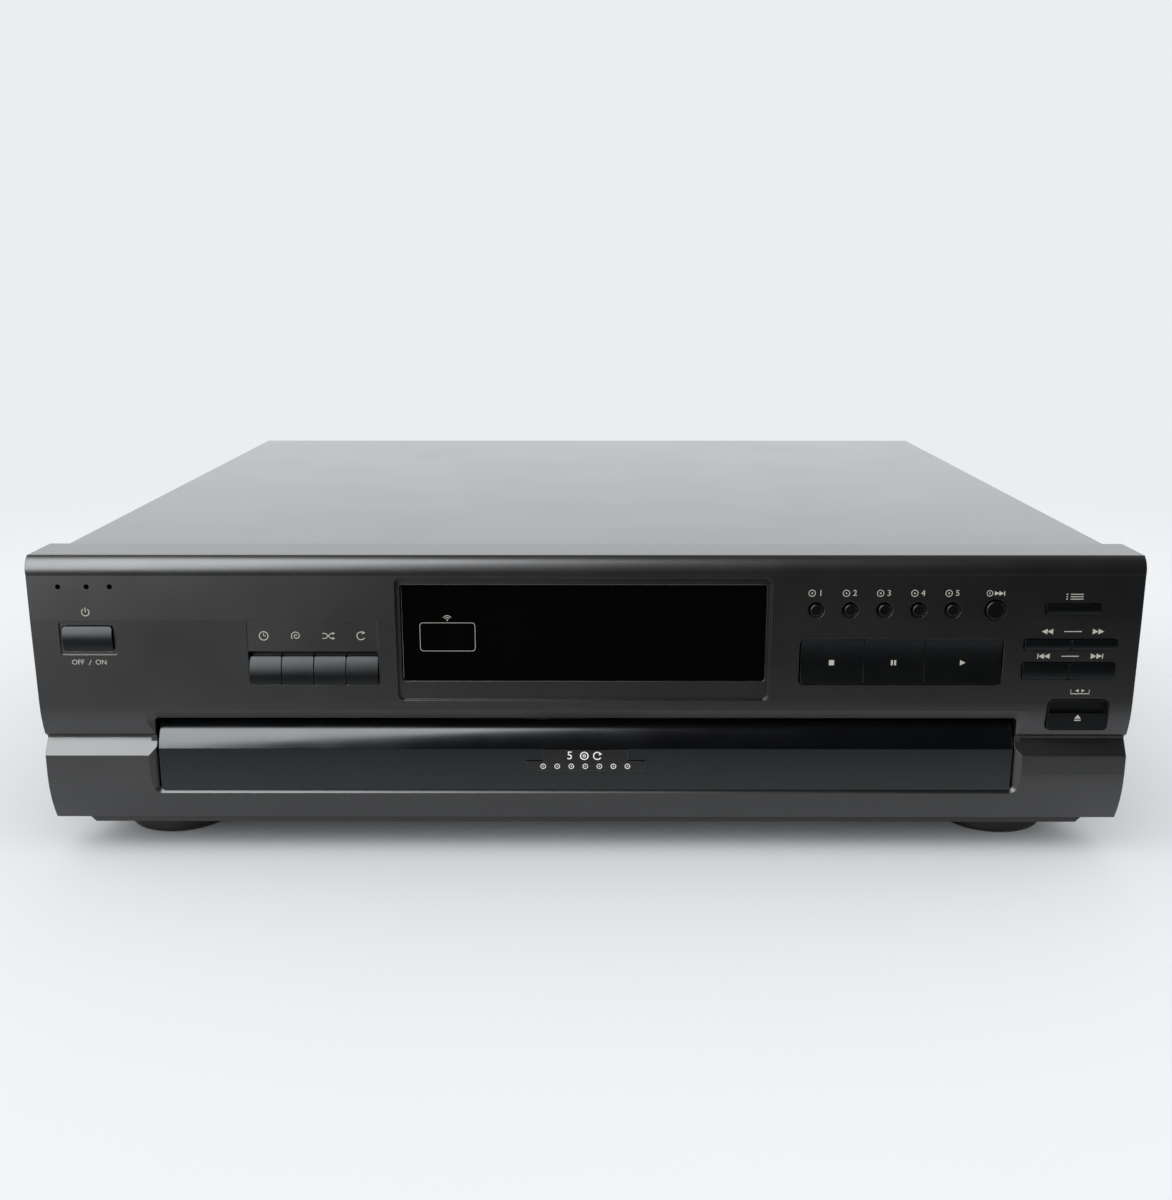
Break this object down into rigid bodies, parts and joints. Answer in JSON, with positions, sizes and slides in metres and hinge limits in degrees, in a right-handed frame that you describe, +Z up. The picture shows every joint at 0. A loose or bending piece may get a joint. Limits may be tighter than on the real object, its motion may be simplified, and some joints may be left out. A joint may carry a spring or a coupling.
{
  "type": "multi disc cd changer",
  "caption": "Full-width disc player with a display, push buttons and a front drawer that carries a rotary disc carousel over a lifting pickup deck.",
  "frame": {"origin": "middle of the footprint, on the surface that the feet stand on", "axes": "+X to the right of someone facing the front, +Y to the back, +Z up"},
  "size_m": [0.43, 0.3814, 0.125],
  "materials": {
    "panel_plastic": "satin dark grey moulded plastic",
    "cover_paint": "satin dark grey paint on sheet steel",
    "window_acrylic": "clear black acrylic",
    "drawer_plastic": "blue black semi-gloss plastic",
    "button_plastic": "blue black semi-gloss plastic",
    "badge_plastic": "black",
    "chassis_steel": "zinc plated sheet",
    "screw_black": "black oxide",
    "foot_plastic": "black moulded plastic",
    "frame_plastic": "black moulded plastic",
    "tray_plastic": "dark grey moulded plastic",
    "carousel_plastic": "dark grey moulded plastic",
    "gear_nylon": "off-white nylon",
    "motor_steel": "plated steel",
    "belt_rubber": "matt",
    "rod_steel": "ground steel",
    "deck_plastic": "black moulded plastic",
    "pickup_metal": "die cast",
    "lens_clear": "coated lens",
    "circuit_board": "brown laminate",
    "board_green": "green laminate",
    "component_black": "moulded",
    "tube_glass": "dark glass",
    "core_steel": "varnished laminations",
    "jack_plating": "plated",
    "inlet_plastic": "black moulded plastic"
  },
  "bodies": {
    "case": {"front_panel": "panel_plastic", "display_window": "window_acrylic", "top_cover": "cover_paint", "bottom_chassis": "chassis_steel", "rear_panel": "cover_paint", "feet": "foot_plastic", "case_screws": "screw_black", "mech_chassis": "frame_plastic", "loading_motor": "motor_steel", "loading_belt": "belt_rubber", "clamp_bridge": "chassis_steel", "front_board": "circuit_board", "display_tube": "tube_glass", "key_switches": "component_black", "main_board": "board_green", "board_parts": "component_black", "transformer": "core_steel", "output_jacks": "jack_plating", "ac_inlet": "inlet_plastic"},
    "drawer": {"drawer_front": "drawer_plastic", "drawer_badge": "badge_plastic", "drawer_tray": "tray_plastic", "carousel_motor": "motor_steel", "carousel_cap": "button_plastic"},
    "carousel": {"carousel": "carousel_plastic", "carousel_ring_gear": "gear_nylon"},
    "carousel_pinion": {"carousel_pinion": "gear_nylon"},
    "tray_drive_gear": {"tray_drive_gear": "gear_nylon"},
    "belt_pulley": {"belt_pulley": "gear_nylon"},
    "motor_pulley": {"motor_pulley": "gear_nylon"},
    "deck": {"traverse_deck": "deck_plastic", "guide_rods": "rod_steel", "spindle_motor": "motor_steel", "sled_motor": "motor_steel"},
    "turntable": {"turntable": "tray_plastic"},
    "pickup": {"optical_pickup": "pickup_metal", "objective_lens": "lens_clear"},
    "sled_screw": {"sled_screw": "rod_steel"},
    "lift_slider": {"lift_slider": "gear_nylon"},
    "clamper": {"clamper": "gear_nylon"},
    "power_button": {"power_button": "button_plastic"},
    "mode_button_1": {"mode_button_1": "button_plastic"},
    "mode_button_2": {"mode_button_2": "button_plastic"},
    "mode_button_3": {"mode_button_3": "button_plastic"},
    "mode_button_4": {"mode_button_4": "button_plastic"},
    "disc_button_1": {"disc_button_1": "button_plastic"},
    "disc_button_2": {"disc_button_2": "button_plastic"},
    "disc_button_3": {"disc_button_3": "button_plastic"},
    "disc_button_4": {"disc_button_4": "button_plastic"},
    "disc_button_5": {"disc_button_5": "button_plastic"},
    "disc_skip_button": {"disc_skip_button": "button_plastic"},
    "stop_button": {"stop_button": "button_plastic"},
    "pause_button": {"pause_button": "button_plastic"},
    "play_button": {"play_button": "button_plastic"},
    "program_button": {"program_button": "button_plastic"},
    "search_back_button": {"search_back_button": "button_plastic"},
    "search_forward_button": {"search_forward_button": "button_plastic"},
    "skip_back_button": {"skip_back_button": "button_plastic"},
    "skip_forward_button": {"skip_forward_button": "button_plastic"},
    "open_close_button": {"open_close_button": "button_plastic"}
  },
  "joints": [
    {"name": "drawer_slide", "type": "slide", "parent": "case", "child": "drawer", "axis": [0, -1, 0], "range_m": [0, 0.24]},
    {"name": "carousel_spin", "type": "hinge", "parent": "drawer", "child": "carousel", "pos_m": [0, -0.00989, 0.0545], "axis": [0, 0, 1], "continuous": true},
    {"name": "carousel_pinion_spin", "type": "hinge", "parent": "drawer", "child": "carousel_pinion", "pos_m": [0, -0.07689, 0.0403], "axis": [0, 0, 1], "continuous": true},
    {"name": "tray_gear_spin", "type": "hinge", "parent": "case", "child": "tray_drive_gear", "pos_m": [0.105, -0.12989, 0.024], "axis": [0, 0, 1], "range_deg": [-918.7, 2]},
    {"name": "belt_pulley_spin", "type": "hinge", "parent": "case", "child": "belt_pulley", "pos_m": [0.075, -0.12989, 0.024], "axis": [0, 0, 1], "range_deg": [-2, 3668.9]},
    {"name": "motor_pulley_spin", "type": "hinge", "parent": "case", "child": "motor_pulley", "pos_m": [0.034, -0.12989, 0.032], "axis": [0, 0, 1], "range_deg": [-2, 10478.9]},
    {"name": "deck_lift", "type": "slide", "parent": "case", "child": "deck", "axis": [0, 0, 1], "range_m": [0, 0.015]},
    {"name": "lift_slider_slide", "type": "slide", "parent": "case", "child": "lift_slider", "axis": [1, 0, 0], "range_m": [0, 0.01808]},
    {"name": "turntable_spin", "type": "hinge", "parent": "deck", "child": "turntable", "pos_m": [0, 0.09398, 0.037], "axis": [0, 0, 1], "continuous": true},
    {"name": "pickup_slide", "type": "slide", "parent": "deck", "child": "pickup", "axis": [0, 1, 0], "range_m": [0, 0.034]},
    {"name": "sled_screw_spin", "type": "hinge", "parent": "deck", "child": "sled_screw", "pos_m": [0.03, 0.11798, 0.0198], "axis": [0, 1, 0], "range_deg": [-2, 2042]},
    {"name": "clamper_spin", "type": "hinge", "parent": "case", "child": "clamper", "pos_m": [0, 0.09398, 0.06], "axis": [0, 0, 1], "continuous": true},
    {"name": "power_button_press", "type": "slide", "parent": "case", "child": "power_button", "axis": [0, 1, 0], "range_m": [0, 0.0012], "stiffness_N_per_m": 400, "springref_m": -0.001},
    {"name": "mode_button_1_press", "type": "slide", "parent": "case", "child": "mode_button_1", "axis": [0, 1, 0], "range_m": [0, 0.0012], "stiffness_N_per_m": 400, "springref_m": -0.001},
    {"name": "mode_button_2_press", "type": "slide", "parent": "case", "child": "mode_button_2", "axis": [0, 1, 0], "range_m": [0, 0.0012], "stiffness_N_per_m": 400, "springref_m": -0.001},
    {"name": "mode_button_3_press", "type": "slide", "parent": "case", "child": "mode_button_3", "axis": [0, 1, 0], "range_m": [0, 0.0012], "stiffness_N_per_m": 400, "springref_m": -0.001},
    {"name": "mode_button_4_press", "type": "slide", "parent": "case", "child": "mode_button_4", "axis": [0, 1, 0], "range_m": [0, 0.0012], "stiffness_N_per_m": 400, "springref_m": -0.001},
    {"name": "disc_button_1_press", "type": "slide", "parent": "case", "child": "disc_button_1", "axis": [0, 1, 0], "range_m": [0, 0.0012], "stiffness_N_per_m": 400, "springref_m": -0.001},
    {"name": "disc_button_2_press", "type": "slide", "parent": "case", "child": "disc_button_2", "axis": [0, 1, 0], "range_m": [0, 0.0012], "stiffness_N_per_m": 400, "springref_m": -0.001},
    {"name": "disc_button_3_press", "type": "slide", "parent": "case", "child": "disc_button_3", "axis": [0, 1, 0], "range_m": [0, 0.0012], "stiffness_N_per_m": 400, "springref_m": -0.001},
    {"name": "disc_button_4_press", "type": "slide", "parent": "case", "child": "disc_button_4", "axis": [0, 1, 0], "range_m": [0, 0.0012], "stiffness_N_per_m": 400, "springref_m": -0.001},
    {"name": "disc_button_5_press", "type": "slide", "parent": "case", "child": "disc_button_5", "axis": [0, 1, 0], "range_m": [0, 0.0012], "stiffness_N_per_m": 400, "springref_m": -0.001},
    {"name": "disc_skip_button_press", "type": "slide", "parent": "case", "child": "disc_skip_button", "axis": [0, 1, 0], "range_m": [0, 0.0012], "stiffness_N_per_m": 400, "springref_m": -0.001},
    {"name": "stop_button_press", "type": "slide", "parent": "case", "child": "stop_button", "axis": [0, 1, 0], "range_m": [0, 0.0012], "stiffness_N_per_m": 400, "springref_m": -0.001},
    {"name": "pause_button_press", "type": "slide", "parent": "case", "child": "pause_button", "axis": [0, 1, 0], "range_m": [0, 0.0012], "stiffness_N_per_m": 400, "springref_m": -0.001},
    {"name": "play_button_press", "type": "slide", "parent": "case", "child": "play_button", "axis": [0, 1, 0], "range_m": [0, 0.0012], "stiffness_N_per_m": 400, "springref_m": -0.001},
    {"name": "program_button_press", "type": "slide", "parent": "case", "child": "program_button", "axis": [0, 1, 0], "range_m": [0, 0.0012], "stiffness_N_per_m": 400, "springref_m": -0.001},
    {"name": "search_back_button_press", "type": "slide", "parent": "case", "child": "search_back_button", "axis": [0, 1, 0], "range_m": [0, 0.0012], "stiffness_N_per_m": 400, "springref_m": -0.001},
    {"name": "search_forward_button_press", "type": "slide", "parent": "case", "child": "search_forward_button", "axis": [0, 1, 0], "range_m": [0, 0.0012], "stiffness_N_per_m": 400, "springref_m": -0.001},
    {"name": "skip_back_button_press", "type": "slide", "parent": "case", "child": "skip_back_button", "axis": [0, 1, 0], "range_m": [0, 0.0012], "stiffness_N_per_m": 400, "springref_m": -0.001},
    {"name": "skip_forward_button_press", "type": "slide", "parent": "case", "child": "skip_forward_button", "axis": [0, 1, 0], "range_m": [0, 0.0012], "stiffness_N_per_m": 400, "springref_m": -0.001},
    {"name": "open_close_button_press", "type": "slide", "parent": "case", "child": "open_close_button", "axis": [0, 1, 0], "range_m": [0, 0.0012], "stiffness_N_per_m": 400, "springref_m": -0.001}
  ],
  "couplings": [
    {"joint": "carousel_pinion_spin", "follows": "carousel_spin", "ratio": -8.5714},
    {"joint": "tray_gear_spin", "follows": "drawer_slide", "rad_per_m": -66.667},
    {"joint": "belt_pulley_spin", "follows": "drawer_slide", "rad_per_m": 266.67},
    {"joint": "motor_pulley_spin", "follows": "drawer_slide", "rad_per_m": 761.9},
    {"joint": "lift_slider_slide", "follows": "deck_lift", "ratio": 1.1918},
    {"joint": "sled_screw_spin", "follows": "pickup_slide", "rad_per_m": 1047.2}
  ]
}
